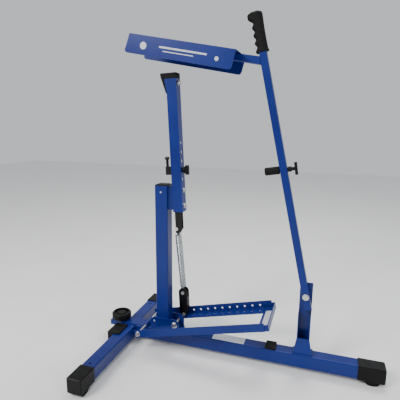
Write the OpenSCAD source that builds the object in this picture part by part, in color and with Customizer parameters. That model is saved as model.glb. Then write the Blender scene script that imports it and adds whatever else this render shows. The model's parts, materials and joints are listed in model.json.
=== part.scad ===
// Hand-worked pitching machine: T-shaped steel stand, post with a sprung foot frame,
// stop column with a rubber head, and a throwing lever with a ball deck.
// X runs back along the base beam, Y across the stand, Z up. The floor is z = 0.

/* [Stand] */
// Side of the square base and cross tubes
tube = 50; // [48:1:52]
// Wall of the square tubes
wall = 2.5; // [2:0.5:3]
// Height of the tubes' underside above the floor
tube_z = 17; // [15:1:19]
// Base beam: end of the steel behind the post
beam_end = 741; // [730:1:745]
// Cross beam: distance ahead of the post
cross_x = 146; // [144:1:150]
// Cross beam: steel on the near side of the post
cross_near = 338; // [320:1:345]
// Cross beam: steel on the far side of the post
cross_far = 207; // [200:1:230]
// Length that an end cap stands past the steel
cap_len = 64; // [60:1:75]

/* [Post] */
// Height of the top of the post
post_top = 649; // [642:1:652]

/* [Stop column] */
// Side of the column channel
col = 38; // [36:1:40]
// Lean of the column towards the front
col_lean = 3; // [2.5:0.25:3.25]

/* [Foot frame] */
// Half of the distance over the two rails
frame_half = 96; // [94:1:98]
// Slope of the rails at rest
frame_slope = 13.5; // [13:0.25:14]
// Length of the rails from pivot to end
frame_len = 512; // [506:1:516]
// Holes along each rail
rail_holes = 10; // [6:1:10]
// Distance between rail holes
hole_pitch = 31.4; // [30:0.2:31.4]

/* [Throwing lever] */
// Lever pivot: distance behind the post
lever_x = 540; // [536:1:545]
// Lever pivot: height
lever_z = 285; // [283:1:287]
// Lean of the lever towards the front at rest
lever_lean = 12.6; // [12:0.1:13]
// Side of the lever tube
lever_tube = 25; // [24:1:26]
// Pivot to the top of the hand grip
lever_len = 968; // [950:1:970]

/* [Ball deck] */
// Slope of the deck at rest
deck_slope = 10.6; // [10:0.1:11]
// Length of the deck
deck_len = 380; // [370:1:385]
// Height of the deck's skirts
deck_skirt = 63; // [60:1:66]
// Half width over the deck's skirts
deck_half = 75; // [72:1:78]

/* [Spring] */
// Outer diameter of the spring's coils
spring_d = 27; // [24:1:28]
// Wire diameter of the spring
wire_d = 3.4; // [3:0.1:3.4]

/* [Hidden] */
$fn = 48;
blue = [0.03, 0.16, 0.62];
dark = [0.05, 0.05, 0.055];
zinc = [0.75, 0.76, 0.78];
steel = [0.62, 0.66, 0.68];

half = tube / 2;
knob_d = 78;
tube_top = tube_z + tube;
level_x = -196;
front = level_x - knob_d / 2;
back = beam_end + cap_len + 12;
shift = [-(front + back) / 2, (cross_near - cross_far) / 2, 0];

// Lever frame: z runs up the lever from its pivot
grip_len = 128;
tube_len = lever_len - 14;
lever_tail = 50;
bracket_w = 44;
bracket_back = lever_tube / 2 + 2;

// Deck frame: its origin is the middle of the deck's front edge, on top
deck_x = -90.5;
deck_z = 1175.6;
deck_sheet = 2;
arm_start = deck_len - 80;

// Column frame: z runs up the column from its lower end
col_x = 66;
col_z = 553;
col_len = 478;
col_sheet = 2;
slot_z = 155;
col_hole = 12;
col_hole_pitch = 33;
gusset = 50;
post_bolt_x = 52;
post_bolt_z = tube_top + 32;
bracket_top = tube_top + 54;
column_bolt_z = [22, 80];
bar_x = -col / 2 + col_sheet + 0.5;
clevis_pin = [-12, -66];

// Foot frame: x runs along the rails from the pivot
pivot_x = -72;
pivot_z = tube_top + 8;
axle_d = 10;
rail_sheet = 3;
rail_web = 30;
rail_flange = 50;
web_low = -16;
hole_x = 168;
hole_z = -2;

// Spring line, from its hook on the column to its hook on the link
link_y = 68;
link_reach = 94;
link_lean = 3;
link_hole = hole_x - hole_pitch;
hook_top = [col_x + clevis_pin[0] * cos(col_lean) - clevis_pin[1] * sin(col_lean), 0,
    col_z + clevis_pin[0] * sin(col_lean) + clevis_pin[1] * cos(col_lean)];
link_pin = [pivot_x + link_hole * cos(frame_slope) - hole_z * sin(frame_slope), link_y,
    pivot_z + link_hole * sin(frame_slope) + hole_z * cos(frame_slope)];
hook_low = link_pin + link_reach * [-sin(link_lean), 0, cos(link_lean)];
spring_axis = hook_low - hook_top;
spring_len = norm(spring_axis);
spring_tilt = atan2(spring_axis[1], -spring_axis[2]);
spring_turn = atan2(spring_axis[0], norm([spring_axis[1], spring_axis[2]]));
ring_in = 8;
hook_len = 30;
link_w = 36;
link_gap = 9;
link_sheet = 3;

// Buffer on the lever: height above the pivot, and tilt from the lever's square
buffer_z = 452;
buffer_turn = 3.5;

pad_x = 427;
pad_h = 8;

// ---- shapes that repeat ----

// Places what follows in the post's frame
module stand() {
    translate(shift) children();
}

// Places what follows in the lever's frame
module on_lever() {
    stand() translate([lever_x, 0, lever_z]) rotate([0, -lever_lean, 0]) children();
}

// Places what follows in the deck's frame
module on_deck() {
    stand() translate([deck_x, 0, deck_z]) rotate([0, deck_slope, 0]) children();
}

// Places what follows in the column's frame
module on_column() {
    stand() translate([col_x, 0, col_z]) rotate([0, -col_lean, 0]) children();
}

// Places what follows in the foot frame's frame
module on_frame() {
    stand() translate([pivot_x, 0, pivot_z]) rotate([0, -frame_slope, 0]) children();
}

// Places what follows along the spring, z from the column's hook down to the link's
module on_spring() {
    stand() translate(hook_top) rotate([spring_tilt, 0, 0]) rotate([0, -spring_turn, 0])
        rotate([180, 0, 0]) children();
}

// Square with rounded corners
module round_square(w, h, r) {
    for (x = [-1, 1], y = [-1, 1])
        translate([x * (w / 2 - r), y * (h / 2 - r)]) circle(r);
    square([w - 2 * r, h], center = true);
    square([w, h - 2 * r], center = true);
}

// Hollow square tube along z
module square_tube(w, h, length, t, r = 4) {
    linear_extrude(length) difference() {
        round_square(w, h, r);
        round_square(w - 2 * t, h - 2 * t, max(r - t, 0.5));
    }
}

// Straight rod along y, centred
module rod_y(d, length) {
    rotate([90, 0, 0]) cylinder(d = d, h = length, center = true);
}

// Straight rod along x, from the origin
module rod_x(d, length) {
    rotate([0, 90, 0]) cylinder(d = d, h = length);
}

// Hexagon head or nut along z
module hex(across, h) {
    cylinder(d = across / cos(30), h = h, $fn = 6);
}

// Bolt along z: washer and hexagon head below the origin, shank above it
module bolt(d, length, across, head = 6) {
    cylinder(d = d, h = length);
    translate([0, 0, -2]) cylinder(d = across * 1.45, h = 2);
    translate([0, 0, -2 - head]) hex(across, head);
}

// Moulded cap over a tube's end, closed at z = length, open at z = 0
module tube_cap(length) {
    difference() {
        union() {
            linear_extrude(length - 3) round_square(tube + 6, tube + 6, 5);
            hull() {
                translate([0, 0, length - 4]) linear_extrude(1) round_square(tube + 6, tube + 6, 5);
                translate([0, 0, length - 1]) linear_extrude(1) round_square(tube, tube, 4);
            }
        }
        translate([0, 0, -1]) linear_extrude(21) round_square(tube + 0.1, tube + 0.1, 4);
        translate([0, 0, 16]) linear_extrude(length - 24) round_square(tube - 8, tube - 8, 4);
    }
}

// Half-round rubber foot under a cap: its roll lies along y, with a flat to stand on
module foot(width) {
    intersection() {
        translate([0, 0, 29]) rod_y(60, width);
        translate([-40, -width, 0]) cube([80, 2 * width, tube_z - 3]);
    }
}

// Ring of round wire lying in the xz plane
module wire_ring(inner, wire) {
    rotate([90, 0, 0]) rotate_extrude() translate([inner + wire / 2, 0]) circle(d = wire);
}

// Flat plate in the xz plane, its middle at y = 0
module plate_xz(points, t) {
    rotate([90, 0, 0]) linear_extrude(t, center = true) polygon(points);
}

// ---- stand ----

module base_beam() {
    length = beam_end + cross_x - half;
    color(blue) stand() translate([-cross_x + half, 0, tube_z + half]) rotate([0, 90, 0])
        square_tube(tube, tube, length, wall);
}

module cross_beam() {
    color(blue) stand() difference() {
        translate([-cross_x, cross_far, tube_z + half]) rotate([90, 0, 0])
            square_tube(tube, tube, cross_near + cross_far, wall);
        for (y = [-cross_near + 32, cross_far - 38])
            translate([-cross_x, y, tube_top - 5]) cylinder(d = 8, h = 10);
    }
}

module beam_end_cap() {
    color(dark) stand() translate([beam_end - 13, 0, tube_z + half]) rotate([0, 90, 0])
        tube_cap(cap_len + 25);
}

module cross_cap(side, reach) {
    color(dark) stand() translate([-cross_x, side * (reach - 13), tube_z + half])
        rotate([side * -90, 0, 0]) tube_cap(cap_len + 13);
}

module cross_cap_near() {
    cross_cap(-1, cross_near);
}

module cross_cap_far() {
    cross_cap(1, cross_far);
}

module rubber_feet() {
    color(dark) stand() {
        translate([beam_end + 35, 0, 0]) foot(46);
        for (y = [-cross_near - 34, cross_far + 34])
            translate([-cross_x, y, 0]) rotate([0, 0, 90]) foot(46);
    }
}

module cross_beam_pad() {
    color(dark) stand() difference() {
        translate([-cross_x - half - 24, -114, tube_z + 6]) cube([50, 72, tube]);
        translate([-cross_x - half - 0.05, -140, 0]) cube([tube, 120, tube_top + 0.05]);
    }
}

module leveling_bracket() {
    nose = -cross_x - half - front - 0.1;
    color(blue) stand() difference() {
        union() {
            translate([front, -half, tube_top]) cube([pivot_x - 12 - front, tube, 4]);
            for (y = [-half, half - 3])
                translate([front, y, tube_top - 16]) cube([nose, 3, 17]);
        }
        translate([level_x, 0, tube_top - 1]) cylinder(d = 13, h = 6);
    }
}

module leveling_screw() {
    color(dark) stand() translate([level_x, 0, 0]) {
        cylinder(d1 = 42, d2 = 46, h = 3);
        translate([0, 0, 3]) cylinder(d = 46, h = 21);
        translate([0, 0, 24]) cylinder(d1 = 46, d2 = 24, h = 10);
        translate([0, 0, 33]) cylinder(d = 12.8, h = tube_top - 16);
    }
}

module leveling_knob() {
    color(dark) stand() translate([level_x, 0, tube_top + 5]) difference() {
        union() {
            cylinder(d = 30, h = 5);
            translate([0, 0, 4]) cylinder(d1 = knob_d - 8, d2 = knob_d, h = 4);
            translate([0, 0, 8]) cylinder(d = knob_d, h = 18);
            translate([0, 0, 26]) cylinder(d1 = knob_d, d2 = knob_d - 8, h = 4);
        }
        translate([0, 0, 22]) difference() {
            cylinder(d = 58, h = 20);
            cylinder(d = 34, h = 6);
        }
        translate([0, 0, -1]) cylinder(d = 13, h = 22);
        for (a = [0 : 30 : 330])
            rotate(a) translate([knob_d / 2 + 3, 0, -1]) cylinder(d = 9, h = 40);
    }
}

// ---- post ----

module post_bracket() {
    color(blue) stand() difference() {
        union() {
            translate([-56, -half - 4, tube_top]) cube([132, tube + 8, 4]);
            for (y = [-1, 1])
                translate([0, y * (half + 2.05), 0]) plate_xz([[-50, tube_top + 3],
                    [72, tube_top + 3], [72, bracket_top - 16], [56, bracket_top], [-34, bracket_top],
                    [-50, bracket_top - 16]], 4);
        }
        translate([post_bolt_x, 0, post_bolt_z]) rod_y(10.2, 80);
        translate([-34, 0, post_bolt_z + 4]) rod_y(10.2, 80);
    }
}

module post() {
    color(blue) stand() translate([0, 0, tube_top + 4]) difference() {
        square_tube(tube, tube, post_top - tube_top - 4, wall);
        translate([0, -half, post_top - tube_top - 28]) rod_y(4.2, 10);
    }
}

module post_cap() {
    color(dark) stand() translate([0, 0, post_top]) {
        linear_extrude(2.5) round_square(tube, tube, 4);
        translate([0, 0, 2]) linear_extrude(3, scale = 0.82) round_square(tube - 2, tube - 2, 4);
        translate([0, 0, -16]) linear_extrude(17)
            round_square(tube - 2 * wall - 0.1, tube - 2 * wall - 0.1, 1.5);
    }
}

module post_bolt() {
    color(zinc) stand() translate([post_bolt_x, -half - 4.1, post_bolt_z]) {
        rotate([-90, 0, 0]) bolt(10, tube + 18, 17);
        translate([0, tube + 8.2, 0]) rotate([-90, 0, 0]) hex(17, 8);
    }
}

module cap_rivet() {
    color(zinc) stand() translate([0, -half - 0.05, post_top - 24]) rotate([-90, 0, 0]) {
        cylinder(d = 4, h = wall + 2);
        translate([0, 0, -1.8]) cylinder(d1 = 6, d2 = 8.4, h = 1.8);
    }
}

// ---- stop column, open to the far side ----

module stop_column() {
    color(blue) on_column() difference() {
        union() {
            linear_extrude(col_len) difference() {
                square(col, center = true);
                translate([0, col_sheet]) square([col - 2 * col_sheet, col], center = true);
            }
            plate_xz([[-col / 2 + 1, col_len - gusset], [-col / 2 + 1, col_len],
                [-col / 2 - 8, col_len], [-col / 2, col_len - gusset]], col);
        }
        for (i = [-1 : 3])
            translate([-col, 0, slot_z + i * col_hole_pitch]) rod_x(col_hole, 2 * col);
        for (z = column_bolt_z)
            translate([-col, 0, z]) rod_x(8.2, 2 * col);
        translate([-col, 0, col_len - 16]) rod_x(8.2, 2 * col);
    }
}

module column_mount() {
    wedge = 85 * tan(col_lean);
    color(blue) stand() difference() {
        translate([half + 0.05, -14, col_z + 6]) cube([30, 28, 84]);
        translate([col_x, 0, col_z]) rotate([0, -col_lean, 0])
            translate([-col / 2 - 0.05, -30, -20]) cube([60, 60, 140]);
        translate([half + 4, -10, col_z - 6]) cube([30 - wedge, 20, 110]);
    }
}

module column_bolts() {
    color(zinc) on_column() for (z = column_bolt_z) translate([col / 2 + 0.05, 0, z])
        rotate([0, -90, 0]) bolt(8, col + 6, 13);
}

module rubber_head() {
    top = col_len + 19;
    left = -col / 2;
    color(dark) on_column() plate_xz([[left - 0.05, col_len - gusset], [left - 8.05, col_len + 0.05],
        [col / 2, col_len + 0.05], [col / 2, top], [left - 21, top], [left - 20, top - 11],
        [left - 2.5, col_len - gusset]], col + 2);
}

module head_bolt() {
    color(zinc) on_column() translate([col / 2 + 0.05, 0, col_len - 16])
        rotate([0, -90, 0]) bolt(8, col, 13);
}

module tension_bar() {
    color(dark) on_column() difference() {
        union() {
            translate([bar_x, 10.5, -50]) cube([4, 5.5, 240]);
            translate([bar_x, -9, slot_z - 10]) cube([4, 25, 20]);
            translate([bar_x, -10.5, -50]) cube([3, 26.5, 58]);
            for (y = [-1, 1])
                translate([0, y * 9, 0]) plate_xz([[bar_x, -82], [-6, -88], [8, -66],
                    [8, 8], [bar_x, 8]], 3);
        }
        translate([clevis_pin[0], 0, clevis_pin[1]]) rod_y(8.2, 60);
        translate([bar_x - 2, 0, slot_z]) rod_x(6.2, 8);
    }
}

module locking_pin() {
    color(dark) on_column() translate([-col / 2 - 0.3, 0, slot_z]) {
        translate([-20, 0, 0]) rod_x(6, col + 22);
        translate([-12, 0, 0]) rod_x(col_hole - 0.6, 14);
        translate([-25, -9, -17]) cube([24.5, 18, 30]);
        translate([-20, 0, 10]) cylinder(d = 10, h = 38);
        translate([-20, 0, 44]) rotate([0, 90, 0]) cylinder(d = 11, h = 14, center = true);
    }
}

module clamp_knob() {
    color(dark) on_column() translate([col / 2 + 0.4, 0, slot_z]) difference() {
        union() {
            rod_x(19, 9);
            translate([8, -6, -12]) cube([8, 12, 24]);
            translate([12, -6, -17]) cube([12, 12, 34]);
        }
        translate([-1, 0, 0]) rod_x(6.1, 7);
    }
}

// ---- spring and its link ----

module spring_pin() {
    color(zinc) stand() translate(hook_top) {
        rod_y(8, 30);
        for (y = [-1, 1])
            translate([0, y * 10.6, 0]) rotate([y * -90, 0, 0]) hex(13, 5);
    }
}

module upper_hook() {
    color(steel) on_spring() {
        wire_ring(4.6, wire_d);
        translate([0, 0, 6.5]) cylinder(d = wire_d, h = hook_len - 6.5);
    }
}

module lower_hook() {
    color(steel) on_spring() translate([0, 0, spring_len]) {
        wire_ring(ring_in, wire_d);
        translate([0, 0, -hook_len]) cylinder(d = wire_d - 0.2, h = hook_len - ring_in - 1);
    }
}

module spring() {
    coils = spring_len - 2 * hook_len;
    color(steel) on_spring() translate([0, 0, hook_len]) cylinder(d = spring_d, h = coils);
}

// Outline of a link plate: round foot at the pin, square shoulders, round top
module link_outline() {
    hull() {
        circle(9.5);
        translate([-link_w / 2, 18]) square([link_w, 2]);
    }
    translate([-link_w / 2, 19]) square([link_w, 76]);
    translate([0, 95]) circle(link_w / 2);
}

module spring_link() {
    color(dark) stand() translate(link_pin) rotate([0, -link_lean, 0]) difference() {
        union() {
            for (y = [-1, 1])
                translate([0, y * (link_gap + link_sheet / 2), 0]) rotate([90, 0, 0])
                    linear_extrude(link_sheet, center = true) link_outline();
            translate([link_w / 2 - 3, -link_gap - 1, 24]) cube([3, 2 * link_gap + 2, 50]);
        }
        rod_y(8.2, 60);
        translate([0, 0, link_reach]) rod_y(8.2, 60);
    }
}

module link_top_pin() {
    color(zinc) stand() translate(hook_low) {
        rod_y(8, 2 * (link_gap + link_sheet));
        for (y = [-1, 1])
            translate([0, y * (link_gap + link_sheet + 0.1), 0]) rotate([y * -90, 0, 0]) hex(13, 5);
    }
}

module link_bolt() {
    inner = link_y - link_gap - link_sheet;
    outer = link_y + link_gap + link_sheet;
    web = frame_half - rail_sheet;
    color(zinc) stand() translate([link_pin[0], 0, link_pin[2]]) {
        translate([0, (inner + web) / 2, 0]) rod_y(8, web - inner + 20);
        translate([0, inner - 3.6, 0]) rotate([-90, 0, 0]) hex(13, 3.5);
        translate([0, frame_half + 0.1, 0]) rotate([-90, 0, 0]) hex(13, 5);
        translate([0, (outer + web) / 2, 0]) rod_y(14, web - outer - 0.4);
    }
}

// ---- foot frame ----

// Angle rail on one side, web outside and flange below it; the far one has two rows of holes
module rail(side) {
    color(blue) on_frame() difference() {
        union() {
            translate([-14, side * (frame_half - rail_sheet / 2), 0])
                translate([0, -rail_sheet / 2, web_low]) cube([frame_len, rail_sheet, rail_web]);
            translate([34, side > 0 ? frame_half - rail_flange : -frame_half, web_low])
                cube([frame_len - 48 - 30, rail_flange, rail_sheet]);
        }
        translate([0, side * frame_half, 0]) rod_y(axle_d + 0.2, 20);
        if (side > 0) for (i = [-1 : rail_holes - 1]) {
            translate([hole_x + i * hole_pitch, side * frame_half, hole_z]) rod_y(8.2, 20);
            if (i >= 0)
                translate([hole_x + i * hole_pitch, side * (frame_half - 26), web_low - 5])
                    cylinder(d = 8.2, h = 20);
        }
    }
}

module rail_near() {
    rail(-1);
}

module rail_far() {
    rail(1);
}

module tread_plate() {
    x = frame_len - 43.9;
    inner = frame_half - rail_sheet - 0.1;
    color(blue) on_frame() {
        translate([x, -inner, web_low]) cube([44, 2 * inner, rail_sheet]);
        translate([x + 41, -inner, web_low]) cube([rail_sheet, 2 * inner, 22]);
        for (y = [-inner, inner - rail_sheet])
            translate([x, y, web_low]) cube([44, rail_sheet, 22]);
    }
}

module axle_sleeve() {
    color(blue) stand() translate([pivot_x, 0, pivot_z]) difference() {
        union() {
            rod_y(16, 60);
            translate([-8, -30, -8]) cube([16, 60, 8]);
        }
        rod_y(axle_d + 0.1, 90);
    }
}

module frame_axle() {
    color(zinc) stand() translate([pivot_x, 0, pivot_z]) rod_y(axle_d, 2 * frame_half + 12);
}

module axle_nuts() {
    color(zinc) stand() translate([pivot_x, 0, pivot_z]) for (y = [-1, 1]) {
        translate([0, y * (frame_half + 0.4), 0]) rotate([y * -90, 0, 0]) difference() {
            union() {
                cylinder(d = 20, h = 2);
                translate([0, 0, 2]) hex(16, 7);
            }
            translate([0, 0, -1]) cylinder(d = axle_d + 0.02, h = 12);
        }
    }
}

module bump_pad() {
    color(dark) stand() translate([pad_x - 19, -half + 1, tube_top]) difference() {
        cube([38, tube - 2, pad_h]);
        for (x = [10, 19, 28])
            translate([x - 1, 4, pad_h - 1]) cube([2, tube - 10, 3]);
    }
}

// ---- throwing lever ----

module lever_bracket() {
    flange_top = lever_z - lever_tail - 12;
    left = lever_x - 22;
    color(blue) stand() difference() {
        union() {
            translate([left, bracket_back, tube_top + 4])
                cube([bracket_w, 4, lever_z + 44 - tube_top - 4]);
            for (x = [left, left + bracket_w - 3])
                translate([x, -18, tube_top + 4]) cube([3, bracket_back + 19, flange_top - tube_top - 4]);
            translate([left - 12, -24, tube_top]) cube([bracket_w + 24, 48, 4]);
            translate([lever_x, -20, 0]) plate_xz([[left - 10 - lever_x, tube_top + 3],
                [34, tube_top + 3], [22, tube_top + 64], [-22, tube_top + 64]], 4);
        }
        translate([lever_x, bracket_back + 2, lever_z]) rod_y(10.2, 20);
    }
}

module lever_bolt() {
    color(zinc) on_lever() translate([0, -lever_tube / 2 - 0.05, 0]) rotate([-90, 0, 0])
        bolt(10, lever_tube + 22, 16, 5);
}

module lever_nut() {
    color(zinc) stand() translate([lever_x, bracket_back + 4.4, lever_z]) rotate([-90, 0, 0])
        difference() {
            union() {
                cylinder(d = 22, h = 2);
                translate([0, 0, 2]) hex(16, 8);
            }
            translate([0, 0, -1]) cylinder(d = 10.2, h = 12);
        }
}

module throwing_lever() {
    color(blue) on_lever() difference() {
        translate([0, 0, -lever_tail]) square_tube(lever_tube, lever_tube, tube_len + lever_tail, 2, 3);
        rod_y(10.1, 60);
        translate([0, 0, buffer_z]) rotate([0, buffer_turn, 0])
            translate([-30, 0, 0]) rod_x(8.2, 60);
    }
}

module lever_end_plug() {
    color(dark) on_lever() translate([0, 0, -lever_tail - 2]) {
        linear_extrude(2) round_square(lever_tube, lever_tube, 3);
        translate([0, 0, 1]) linear_extrude(14) round_square(lever_tube - 4.1, lever_tube - 4.1, 1);
    }
}

// Side view of the hand grip: finger grooves in front, nose at the top
module grip_outline() {
    base = lever_len - grip_len;
    difference() {
        union() {
            translate([-21, base]) square([40, grip_len - 22]);
            hull() {
                translate([-27, lever_len - 22]) circle(6, $fn = 32);
                translate([-25, lever_len - 7]) circle(7, $fn = 32);
                translate([12, lever_len - 7]) circle(7, $fn = 32);
                translate([10, lever_len - 26]) square(9);
            }
            translate([-23, base]) square([44, 7]);
        }
        for (i = [0 : 3])
            translate([-27, base + 19 + i * 23]) circle(13.5, $fn = 40);
    }
}

module hand_grip() {
    color(dark) on_lever() difference() {
        rotate([90, 0, 0]) linear_extrude(32, center = true) grip_outline();
        translate([0, 0, lever_len - grip_len - 1])
            linear_extrude(grip_len - 13) round_square(lever_tube + 0.1, lever_tube + 0.1, 3);
    }
}

// Places what follows in the lever's frame, from the deck's frame
module deck_to_lever() {
    rotate([0, -deck_slope, 0]) translate([lever_x - deck_x, 0, lever_z - deck_z])
        rotate([0, -lever_lean, 0]) children();
}

module deck_arm() {
    reach = 220;
    color(blue) on_deck() difference() {
        translate([arm_start, 0, -deck_sheet - 0.05 - lever_tube / 2]) rotate([0, 90, 0])
            square_tube(lever_tube, lever_tube, reach, 2, 3);
        deck_to_lever() translate([-lever_tube / 2 - 0.05, -40, -100]) cube([400, 80, 1200]);
    }
}

// Side view of the deck's skirt, its lower corners rounded
module skirt_outline() {
    r = 10;
    difference() {
        polygon([[5, 0], [deck_len + 2, 0], [deck_len - 3, -deck_skirt], [-6, -deck_skirt]]);
        translate([-7, -deck_skirt - 1]) square([r, r]);
        translate([deck_len - r - 3, -deck_skirt - 1]) square([r + 2, r]);
    }
    translate([r - 5, r - deck_skirt]) circle(r);
    translate([deck_len - r - 3, r - deck_skirt]) circle(r);
}

module ball_deck() {
    color(blue) on_deck() {
        for (y = [-1, 1])
            translate([0, y * (deck_half - deck_sheet / 2), 0]) rotate([90, 0, 0])
                linear_extrude(deck_sheet, center = true) skirt_outline();
        translate([5, -deck_half + 1, -deck_sheet]) cube([deck_len - 3, 2 * deck_half - 2, deck_sheet]);
    }
}

module lever_buffer() {
    color(dark) on_lever() translate([0, 0, buffer_z]) rotate([0, buffer_turn, 0])
        translate([-lever_tube / 2 - 50.5, 0, 0]) rotate([0, 90, 0]) difference() {
            union() {
                cylinder(d1 = 25, d2 = 27, h = 3);
                translate([0, 0, 3]) cylinder(d = 27, h = 45);
                translate([0, 0, 48]) cylinder(d = 18, h = 1.5);
            }
            translate([0, 0, 30]) cylinder(d = 8, h = 30);
        }
}

module buffer_screw() {
    color(dark) on_lever() translate([0, 0, buffer_z]) rotate([0, buffer_turn, 0]) {
        translate([-lever_tube / 2 - 19, 0, 0]) rod_x(7.9, lever_tube + 30);
        translate([lever_tube / 2 + 1.5, 0, 0]) rod_x(18, 12);
        translate([lever_tube / 2 + 12, 0, 0]) rod_x(12, 14);
        translate([lever_tube / 2 + 24, -6, -21]) cube([9, 12, 42]);
    }
}

base_beam();
cross_beam();
beam_end_cap();
cross_cap_near();
cross_cap_far();
rubber_feet();
cross_beam_pad();
leveling_bracket();
leveling_screw();
leveling_knob();
post();
post_cap();
cap_rivet();
post_bracket();
post_bolt();
stop_column();
column_mount();
column_bolts();
rubber_head();
head_bolt();
tension_bar();
locking_pin();
clamp_knob();
spring_pin();
upper_hook();
spring();
lower_hook();
spring_link();
link_top_pin();
link_bolt();
rail_near();
rail_far();
tread_plate();
axle_sleeve();
frame_axle();
axle_nuts();
bump_pad();
lever_bracket();
lever_bolt();
lever_nut();
throwing_lever();
lever_end_plug();
hand_grip();
deck_arm();
ball_deck();
lever_buffer();
buffer_screw();
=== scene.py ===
"""Looks for the hand-worked pitching machine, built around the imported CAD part."""

import json
import math

import bmesh
import bpy
from mathutils import Matrix, Vector, noise


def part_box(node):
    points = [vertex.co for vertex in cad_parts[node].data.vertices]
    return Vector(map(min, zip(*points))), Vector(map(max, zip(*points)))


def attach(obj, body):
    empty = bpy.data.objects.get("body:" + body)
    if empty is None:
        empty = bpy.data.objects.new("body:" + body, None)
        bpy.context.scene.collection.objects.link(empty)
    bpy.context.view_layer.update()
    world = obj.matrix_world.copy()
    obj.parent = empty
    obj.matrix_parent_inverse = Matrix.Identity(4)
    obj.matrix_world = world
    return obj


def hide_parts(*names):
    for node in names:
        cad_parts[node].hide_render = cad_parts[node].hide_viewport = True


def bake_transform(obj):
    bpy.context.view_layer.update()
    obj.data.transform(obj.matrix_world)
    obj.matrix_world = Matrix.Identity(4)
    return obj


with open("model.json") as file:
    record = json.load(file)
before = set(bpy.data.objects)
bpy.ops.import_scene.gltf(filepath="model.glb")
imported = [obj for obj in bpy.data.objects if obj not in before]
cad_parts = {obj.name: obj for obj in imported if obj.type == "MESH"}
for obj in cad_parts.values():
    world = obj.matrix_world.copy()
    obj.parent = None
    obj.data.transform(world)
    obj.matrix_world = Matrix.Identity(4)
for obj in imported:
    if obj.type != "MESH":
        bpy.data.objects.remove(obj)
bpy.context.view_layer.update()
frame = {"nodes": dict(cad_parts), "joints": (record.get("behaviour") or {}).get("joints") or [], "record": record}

MM = 0.001
LEVER_LEAN = math.radians(12.6)
DECK_SLOPE = math.radians(10.6)
FRAME_SLOPE = math.radians(13.5)
GRIP_TOP = 968 * MM
GRIP_LEN = 128 * MM
DECK_REACH = 382 * MM
DECK_LIP = 5 * MM
BEAM_LABEL_BACK = 241 * MM
TREAD_ALONG = 490 * MM
TREAD_BELOW = -13 * MM


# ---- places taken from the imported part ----

def joint(name):
    return next(j for j in frame["joints"] if j["name"] == name)


def centre(node):
    lo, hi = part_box(node)
    return (lo + hi) / 2


def lever_frame():
    place = Matrix.Translation(joint("lever_swing")["pos_m"])
    return place @ Matrix.Rotation(-LEVER_LEAN, 4, "Y")


def deck_frame():
    lo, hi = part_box("ball_deck")
    edge = Vector((DECK_LIP, 0, 0))
    turn = Matrix.Rotation(DECK_SLOPE, 4, "Y")
    right = turn @ Vector((DECK_REACH, 0, 0))
    return Matrix.Translation((hi.x - right.x, (lo.y + hi.y) / 2, hi.z - (turn @ edge).z)) @ turn


def foot_frame():
    place = Matrix.Translation(joint("foot_frame_press")["pos_m"])
    return place @ Matrix.Rotation(-FRAME_SLOPE, 4, "Y")


# ---- small node-tree helper ----

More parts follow.
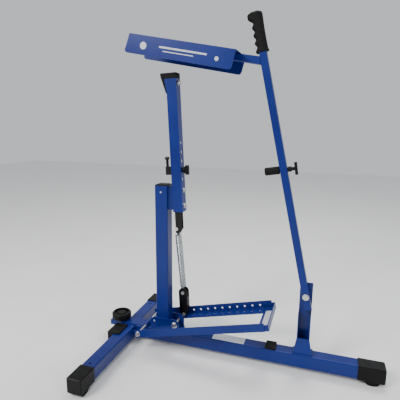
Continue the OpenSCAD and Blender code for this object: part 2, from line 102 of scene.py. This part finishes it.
class Shader:
    """A material's node tree with short calls for the nodes used here."""

    def __init__(self, name):
        self.mat = bpy.data.materials.new(name)
        self.mat.use_nodes = True
        self.tree = self.mat.node_tree
        self.bsdf = self.tree.nodes["Principled BSDF"]
        self.where = self.node("ShaderNodeTexCoord").outputs["Object"]

    def node(self, kind, **values):
        n = self.tree.nodes.new(kind)
        for key, value in values.items():
            setattr(n, key, value)
        return n

    def link(self, a, b):
        self.tree.links.new(a, b)

    def put(self, socket, value):
        if isinstance(value, bpy.types.NodeSocket):
            self.link(value, socket)
        else:
            socket.default_value = value

    def set(self, **values):
        for key, value in values.items():
            self.put(self.bsdf.inputs[key.replace("_", " ")], value)

    def noise(self, scale, detail=4.0, rough=0.55, stretch=None):
        n = self.node("ShaderNodeTexNoise")
        n.inputs["Scale"].default_value = scale
        n.inputs["Detail"].default_value = detail
        n.inputs["Roughness"].default_value = rough
        where = self.where
        if stretch:
            mapping = self.node("ShaderNodeMapping")
            mapping.inputs["Scale"].default_value = stretch
            self.link(where, mapping.inputs["Vector"])
            where = mapping.outputs["Vector"]
        self.link(where, n.inputs["Vector"])
        return n.outputs["Fac"]

    def ramp(self, fac, low, high, start=0.0, end=1.0):
        n = self.node("ShaderNodeMapRange")
        for key, value in (("From Min", low), ("From Max", high), ("To Min", start), ("To Max", end)):
            n.inputs[key].default_value = value
        self.link(fac, n.inputs["Value"])
        return n.outputs["Result"]

    def math(self, how, a, b):
        n = self.node("ShaderNodeMath", operation=how)
        self.put(n.inputs[0], a)
        self.put(n.inputs[1], b)
        return n.outputs[0]

    def mix(self, fac, a, b):
        n = self.node("ShaderNodeMix", data_type="RGBA")
        self.put(n.inputs["Factor"], fac)
        self.put(n.inputs["A"], a)
        self.put(n.inputs["B"], b)
        return n.outputs["Result"]

    def round_normal(self, radius):
        n = self.node("ShaderNodeBevel", samples=4)
        n.inputs["Radius"].default_value = radius
        return n.outputs["Normal"]

    def edges(self, radius):
        """1 on the part's sharp edges, 0 on its flats."""
        plain = self.node("ShaderNodeNewGeometry").outputs["Normal"]
        dot = self.node("ShaderNodeVectorMath", operation="DOT_PRODUCT")
        self.link(self.round_normal(radius), dot.inputs[0])
        self.link(plain, dot.inputs[1])
        return self.ramp(dot.outputs["Value"], 0.985, 0.86)

    def facing_up(self):
        split = self.node("ShaderNodeSeparateXYZ")
        self.link(self.node("ShaderNodeNewGeometry").outputs["Normal"], split.inputs[0])
        return self.ramp(split.outputs["Z"], 0.5, 1.0)

    def bump(self, *layers, radius=0.0008):
        """Layers of (height, strength, distance) over the rounded edges."""
        normal = self.round_normal(radius)
        for height, strength, distance in layers:
            n = self.node("ShaderNodeBump")
            n.inputs["Strength"].default_value = strength
            n.inputs["Distance"].default_value = distance
            self.link(height, n.inputs["Height"])
            self.link(normal, n.inputs["Normal"])
            normal = n.outputs["Normal"]
        self.link(normal, self.bsdf.inputs["Normal"])


# ---- materials ----

def blue_paint():
    s = Shader("blue_powder_coat")
    cloud = s.noise(7, 5)
    peel = s.noise(620, 2, 0.5)
    grit = s.noise(2300, 2)
    scuff = s.ramp(s.noise(26, 7, 0.72, (1, 1, 7)), 0.64, 0.70)
    nick = s.ramp(s.noise(160, 3), 0.56, 0.66)
    colour = s.mix(s.ramp(cloud, 0.3, 0.7), (0.0008, 0.0100, 0.125, 1), (0.0014, 0.0150, 0.160, 1))
    dust = s.math("MULTIPLY", s.facing_up(), s.ramp(s.noise(34, 6), 0.45, 0.75, 0.0, 0.04))
    colour = s.mix(dust, colour, (0.20, 0.24, 0.34, 1))
    colour = s.mix(s.math("MULTIPLY", scuff, 0.12), colour, (0.03, 0.08, 0.34, 1))
    worn = s.math("MULTIPLY", s.edges(0.0011), nick)
    colour = s.mix(s.math("MULTIPLY", worn, 0.75), colour, (0.16, 0.20, 0.30, 1))
    rough = s.math("ADD", s.ramp(cloud, 0.3, 0.7, 0.27, 0.36), s.math("MULTIPLY", scuff, 0.2))
    s.set(Base_Color=colour, Roughness=rough, Coat_Weight=0.1, Coat_Roughness=0.25)
    s.bsdf.inputs["Specular IOR Level"].default_value = 0.25
    s.bump((peel, 0.22, 0.0003), (grit, 0.08, 0.0001), radius=0.0012)
    return s.mat


def moulded(name, dark, pale, rough, grain):
    s = Shader(name)
    cloud = s.noise(18, 5)
    leather = s.noise(grain, 3, 0.6)
    colour = s.mix(s.ramp(cloud, 0.3, 0.75), dark, pale)
    dust = s.math("MULTIPLY", s.facing_up(), s.ramp(s.noise(52, 6), 0.42, 0.75, 0.004, 0.035))
    colour = s.mix(dust, colour, (0.20, 0.195, 0.19, 1))
    # painted highlight: sharp edges lightened toward grey in patches, standing in for light catching them
    painted_edge_highlight = s.math("MULTIPLY", s.edges(0.0012), s.ramp(s.noise(240, 3), 0.45, 0.7))
    colour = s.mix(s.math("MULTIPLY", painted_edge_highlight, 0.3), colour, (0.06, 0.06, 0.063, 1))
    s.set(Base_Color=colour, Roughness=s.ramp(cloud, 0.25, 0.75, rough, rough + 0.16))
    s.bsdf.inputs["Specular IOR Level"].default_value = 0.16
    s.bump((leather, 0.35, 0.0003), radius=0.0014)
    return s.mat


def black_plastic():
    dark, pale_spots = (0.0025, 0.0025, 0.0028, 1), (0.0048, 0.0048, 0.0052, 1)
    return moulded("black_moulded_plastic", dark, pale_spots, 0.36, 1500)


def black_rubber():
    return moulded("black_rubber", (0.003, 0.003, 0.003, 1), (0.0055, 0.0054, 0.0052, 1), 0.6, 900)


def black_steel():
    s = Shader("black_painted_steel")
    cloud = s.noise(30, 5)
    grain = s.noise(1300, 3)
    nick = s.ramp(s.noise(190, 4), 0.48, 0.6)
    worn = s.math("MULTIPLY", s.edges(0.0009), nick)
    colour = s.mix(s.ramp(cloud, 0.3, 0.7), (0.003, 0.003, 0.0033, 1), (0.0055, 0.0055, 0.006, 1))
    colour = s.mix(worn, colour, (0.24, 0.235, 0.23, 1))
    s.set(Base_Color=colour, Metallic=s.math("MULTIPLY", worn, 0.8))
    s.set(Roughness=s.ramp(cloud, 0.3, 0.7, 0.34, 0.5), Coat_Weight=0.05)
    s.bsdf.inputs["Specular IOR Level"].default_value = 0.22
    s.bump((grain, 0.2, 0.0002), radius=0.001)
    return s.mat


def zinc_steel():
    s = Shader("zinc_plated_steel")
    cloud = s.noise(120, 4)
    spangle = s.node("ShaderNodeTexVoronoi")
    spangle.inputs["Scale"].default_value = 900
    s.link(s.where, spangle.inputs["Vector"])
    grain = s.noise(2600, 2, 0.5, (1, 1, 0.2))
    colour = s.mix(s.ramp(cloud, 0.3, 0.7), (0.50, 0.50, 0.49, 1), (0.66, 0.66, 0.65, 1))
    tarnish = s.ramp(s.noise(300, 5), 0.55, 0.8, 0.0, 0.5)
    colour = s.mix(tarnish, colour, (0.30, 0.29, 0.26, 1))
    s.set(Base_Color=colour, Metallic=1.0, Roughness=s.ramp(spangle.outputs["Distance"], 0, 0.8, 0.26, 0.44))
    s.bump((grain, 0.15, 0.0001), radius=0.0006)
    return s.mat


def spring_steel():
    s = Shader("drawn_spring_wire")
    cloud = s.noise(90, 4)
    drawn = s.noise(1800, 2)
    colour = s.mix(s.ramp(cloud, 0.3, 0.7), (0.42, 0.45, 0.46, 1), (0.60, 0.64, 0.65, 1))
    stain = s.ramp(s.noise(210, 5), 0.56, 0.8, 0.0, 0.45)
    colour = s.mix(stain, colour, (0.16, 0.15, 0.14, 1))
    s.set(Base_Color=colour, Metallic=1.0, Roughness=s.ramp(cloud, 0.3, 0.7, 0.22, 0.36))
    s.bump((drawn, 0.1, 0.0001), radius=0.0004)
    return s.mat


def label_vinyl():
    s = Shader("plain_vinyl_label")
    cloud = s.noise(45, 5)
    colour = s.mix(s.ramp(cloud, 0.3, 0.75), (0.52, 0.55, 0.58, 1), (0.42, 0.45, 0.49, 1))
    scratch = s.ramp(s.noise(60, 7, 0.7, (1, 8, 8)), 0.64, 0.72, 0.0, 0.35)
    colour = s.mix(scratch, colour, (0.40, 0.41, 0.43, 1))
    s.set(Base_Color=colour, Roughness=s.ramp(cloud, 0.3, 0.7, 0.3, 0.45))
    s.bump((s.noise(400, 3), 0.1, 0.0001), radius=0.0002)
    return s.mat


def pale(name, colour, rough):
    s = Shader(name)
    cloud = s.noise(3, 4)
    shade = s.mix(s.ramp(cloud, 0.3, 0.7), colour, tuple(0.95 * c for c in colour[:3]) + (1,))
    s.set(Base_Color=shade, Roughness=rough)
    return s.mat


LOOKS = {
    "blue_paint": blue_paint(),
    "black_plastic": black_plastic(),
    "black_rubber": black_rubber(),
    "black_steel": black_steel(),
    "zinc_steel": zinc_steel(),
    "spring_steel": spring_steel(),
}
LABEL = label_vinyl()


def dress_nodes():
    for entry in frame["record"]["subparts"]:
        mesh = frame["nodes"][entry["node"]].data
        mesh.materials.clear()
        mesh.materials.append(LOOKS[entry["material_slot"]])


# ---- mesh helpers ----

def add_mesh(name, verts, faces, material, smooth=True):
    mesh = bpy.data.meshes.new(name)
    mesh.from_pydata([tuple(v) for v in verts], [], faces)
    mesh.materials.append(material)
    obj = bpy.data.objects.new(name, mesh)
    bpy.context.scene.collection.objects.link(obj)
    tidy = bmesh.new()
    tidy.from_mesh(mesh)
    bmesh.ops.recalc_face_normals(tidy, faces=tidy.faces)
    tidy.to_mesh(mesh)
    tidy.free()
    for p in mesh.polygons:
        p.use_smooth = smooth
    return obj


def loft(rings):
    """Faces over equal rings of points, both ends closed."""
    n = len(rings[0])
    verts = [v for ring in rings for v in ring]
    faces = [
        (i * n + k, i * n + (k + 1) % n, (i + 1) * n + (k + 1) % n, (i + 1) * n + k)
        for i in range(len(rings) - 1)
        for k in range(n)
    ]
    faces.append(tuple(reversed(range(n))))
    faces.append(tuple((len(rings) - 1) * n + k for k in range(n)))
    return verts, faces


def tube(path, radius, sides=8):
    """A round tube along a path; radius is a number or a list with one for each point."""
    radii = radius if isinstance(radius, list) else [radius] * len(path)
    rings = []
    side = None
    for i, p in enumerate(path):
        along = (path[min(i + 1, len(path) - 1)] - path[max(i - 1, 0)]).normalized()
        if side is None:
            side = along.orthogonal()
        side = (side - along * side.dot(along)).normalized()
        other = along.cross(side)
        ring = []
        for k in range(sides):
            a = 2 * math.pi * k / sides
            ring.append(p + radii[i] * (math.cos(a) * side + math.sin(a) * other))
        rings.append(ring)
    return loft(rings)


# ---- pieces modelled here ----

def coil_spring():
    """Close-wound coils between the two hooks, made as one fixed mesh."""
    top = Vector(joint("hanger_swing")["pos_m"])
    low = centre("lower_hook")
    along = Vector(joint("spring_stretch")["axis"]).normalized()
    length = (centre("link_top_pin") - top).length
    start, end = 27 * MM, length - 27 * MM
    side = along.orthogonal().normalized()
    other = along.cross(side)
    wire, coil = 1.62 * MM, 10.7 * MM
    turns = round((end - start) / (2.04 * wire))
    steps = turns * 14
    path = []
    for i in range(steps + 1):
        t = i / steps
        near_end = min(t, 1 - t) * turns
        r = coil * min(1.0, 0.05 + near_end / 0.75)
        a = 2 * math.pi * turns * t
        middle = top + along * (start + (end - start) * t)
        path.append(middle + r * (math.cos(a) * side + math.sin(a) * other))
    verts, faces = tube(path, wire, 8)
    obj = add_mesh("coil_spring", verts, faces, LOOKS["spring_steel"])
    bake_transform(obj)
    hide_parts("spring")


def grip_section(t, w, x0, x1, half, corner=3.2):
    """One closed outline across the grip: a rounded box from x0 to x1."""
    ring = []
    for k in range(40):
        a = 2 * math.pi * k / 40
        c, s = math.cos(a), math.sin(a)
        x = math.copysign(abs(c) ** (2 / corner), c) * (x1 - x0) / 2 + (x0 + x1) / 2
        y = math.copysign(abs(s) ** (2 / corner), s) * half
        ring.append(w @ Vector((x, y, t)))
    return ring


def grip_left(u):
    """Front side of the grip at u mm above its lower end: three and a half finger grooves."""
    grooves = 6.0 * (0.5 - 0.5 * math.cos(2 * math.pi * (u - 6) / 24.5))
    if u < 6 or u > 104:
        grooves = 0
    nose = 8.5 * min(1, max(0, (u - 100) / 9))
    return -(21.5 - grooves + nose)


def hand_grip():
    w = lever_frame()
    base = GRIP_TOP - GRIP_LEN
    rings = []
    for i in range(129):
        u = GRIP_LEN / MM * i / 128
        round_top = 1 - max(0, (u - 119) / 9.6) ** 2.2
        round_low = 1 - 0.12 * max(0, (3 - u) / 3) ** 2
        flange = 2.0 if u < 7 else 0.0
        x0 = grip_left(u) - flange * 0.4
        x1 = 19 + flange - 1.5 * math.sin(math.pi * min(1, u / 110))
        mid = (x0 + x1) / 2
        keep = max(0.35, round_top) ** 0.5 * round_low
        half = 15.8 * keep
        rings.append(grip_section(base + u * MM, w, (mid + (x0 - mid) * keep) * MM,
                                  (mid + (x1 - mid) * keep) * MM, half * MM))
    verts, faces = loft(rings)
    obj = add_mesh("moulded_grip", verts, faces, LOOKS["black_rubber"])
    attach(obj, "lever")
    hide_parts("hand_grip")


def weld(name, points, body, radius=2.6):
    """A painted weld bead with its ripples, along straight stretches."""
    path = []
    for a, b in zip(points, points[1:]):
        n = max(2, int((b - a).length / (1.1 * MM)))
        path += [a + (b - a) * (i / n) for i in range(n)]
    path.append(points[-1])
    radii = []
    for i, p in enumerate(path):
        ripple = 0.18 * math.sin(i * 1.55) + 0.22 * noise.noise(p * 140)
        ends = min(1.0, 0.35 + min(i, len(path) - 1 - i) / 3)
        radii.append(radius * MM * (1 + ripple) * ends)
    verts, faces = tube(path, radii, 10)
    obj = add_mesh(name, verts, faces, LOOKS["blue_paint"])
    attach(obj, body)


def welds():
    post_lo, post_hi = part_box("post")
    br_lo, br_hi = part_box("post_bracket")
    z = br_lo.z + 4 * MM
    for side, x in (("front", post_lo.x), ("back", post_hi.x)):
        seam = [Vector((x, post_lo.y + 2 * MM, z)), Vector((x, post_hi.y - 2 * MM, z))]
        weld("weld_post_" + side, seam, "stand", 3)
    beam_lo, beam_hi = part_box("base_beam")
    for side, y in (("near", beam_lo.y), ("far", beam_hi.y)):
        seam = [Vector((br_lo.x + 3 * MM, y, br_lo.z)), Vector((br_hi.x - 3 * MM, y, br_lo.z))]
        weld("weld_bracket_" + side, seam, "stand", 2.6)
        seam = [Vector((beam_lo.x, y, beam_lo.z + 4 * MM)), Vector((beam_lo.x, y, beam_hi.z - 6 * MM))]
        weld("weld_cross_" + side, seam, "stand", 3)
    lo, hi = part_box("lever_bracket")
    a, b = lo.x + 1 * MM, hi.x - 1 * MM
    y0, y1 = centre("base_beam").y - 24 * MM, centre("base_beam").y + 24 * MM
    corners = [Vector((a, y0, lo.z)), Vector((b, y0, lo.z)), Vector((b, y1, lo.z)), Vector((a, y1, lo.z))]
    weld("weld_lever_foot", [c + Vector((0, 0, 1 * MM)) for c in corners + corners[:1]], "stand", 2.4)
    m_lo, m_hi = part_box("column_mount")
    for side, y in (("near", m_lo.y), ("far", m_hi.y)):
        x = post_hi.x + 0.6 * MM
        seam = [Vector((x, y, m_lo.z + 3 * MM)), Vector((x, y, m_hi.z - 3 * MM))]
        weld("weld_mount_" + side, seam, "stand", 2.4)


def sticker(name, place, length, width, body, thick=0.25, corner=3.0):
    """A blank label: a thin sheet with round corners, its middle at place, lying in place's XY plane."""
    outline = []
    for cx, cy, turn in ((1, 1, 0), (-1, 1, 90), (-1, -1, 180), (1, -1, 270)):
        for k in range(6):
            a = math.radians(turn + 18 * k)
            outline.append(((cx * (length / 2 - corner) + corner * math.cos(a)) * MM,
                            (cy * (width / 2 - corner) + corner * math.sin(a)) * MM))
    rings = [[place @ Vector((x, y, z * MM)) for x, y in outline] for z in (0.02, thick)]
    verts, faces = loft(rings)
    obj = add_mesh(name, verts, faces, LABEL, smooth=False)
    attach(obj, body)


def labels():
    beam_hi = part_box("base_beam")[1]
    label_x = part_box("post")[1].x + BEAM_LABEL_BACK
    top = Matrix.Translation((label_x, centre("base_beam").y, beam_hi.z))
    sticker("beam_label", top, 124, 42, "stand")
    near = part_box("ball_deck")[0].y - centre("ball_deck").y
    flat = deck_frame() @ Matrix.Translation((0, near, 0)) @ Matrix.Rotation(math.pi / 2, 4, "X")
    marks = (("deck_band_top", 205, -29, 170, 6), ("deck_band_low", 190, -41, 110, 3),
             ("deck_dot", 62, -33, 24, 24), ("deck_dot_small", 324, -37, 14, 14))
    for name, x, z, length, width in marks:
        place = flat @ Matrix.Translation((x * MM, z * MM, 0))
        sticker(name, place, length, width, "lever", corner=width / 2 - 0.05)
    lip = foot_frame() @ Matrix.Translation((TREAD_ALONG, 0, TREAD_BELOW))
    sticker("tread_label", lip, 24, 120, "foot_frame", corner=2)


# ---- stage, light and camera ----

def add_floor():
    mesh = bpy.data.meshes.new("floor")
    mesh.from_pydata([(-6, -6, 0), (6, -6, 0), (6, 6, 0), (-6, 6, 0)], [], [(0, 1, 2, 3)])
    mesh.materials.append(pale("floor_paint", (0.86, 0.86, 0.855, 1), 0.6))
    floor = bpy.data.objects.new("floor", mesh)
    bpy.context.scene.collection.objects.link(floor)


def add_light(name, where, target, size, power, colour=(1, 1, 1)):
    data = bpy.data.lights.new(name, "AREA")
    data.shape = "DISK"
    data.size, data.energy, data.color = size, power, colour
    light = bpy.data.objects.new(name, data)
    light.location = where
    light.rotation_euler = (Vector(target) - Vector(where)).to_track_quat("-Z", "Y").to_euler()
    bpy.context.scene.collection.objects.link(light)


def add_lights():
    world = bpy.data.worlds.new("soft_room")
    world.use_nodes = True
    world.node_tree.nodes["Background"].inputs["Color"].default_value = (0.86, 0.88, 0.91, 1)
    world.node_tree.nodes["Background"].inputs["Strength"].default_value = 0.74
    bpy.context.scene.world = world
    add_light("window", (-1.6, -2.4, 2.6), (0, 0, 0.5), 1.3, 105, (1.0, 0.98, 0.95))
    add_light("fill", (2.6, -1.5, 1.8), (0, 0, 0.5), 1.6, 26, (0.93, 0.96, 1.0))
    add_light("top", (0.3, 1.2, 3.0), (0, 0, 0.4), 1.4, 46)


def add_camera():
    data = bpy.data.cameras.new("camera")
    data.sensor_width = 36
    data.lens = 34.87
    camera = bpy.data.objects.new("camera", data)
    heading, tilt, roll = 0.317, math.pi / 2 - 0.198, 0.008
    turn = Matrix.Rotation(heading, 4, "Z") @ Matrix.Rotation(tilt, 4, "X") @ Matrix.Rotation(roll, 4, "Z")
    post = centre("post")
    where = Vector((post.x + 0.57936, post.y - 1.32336, 0.88069))
    camera.matrix_world = Matrix.Translation(where) @ turn
    bpy.context.scene.collection.objects.link(camera)
    bpy.context.scene.camera = camera


dress_nodes()
coil_spring()
hand_grip()
welds()
labels()
add_floor()
add_lights()
add_camera()
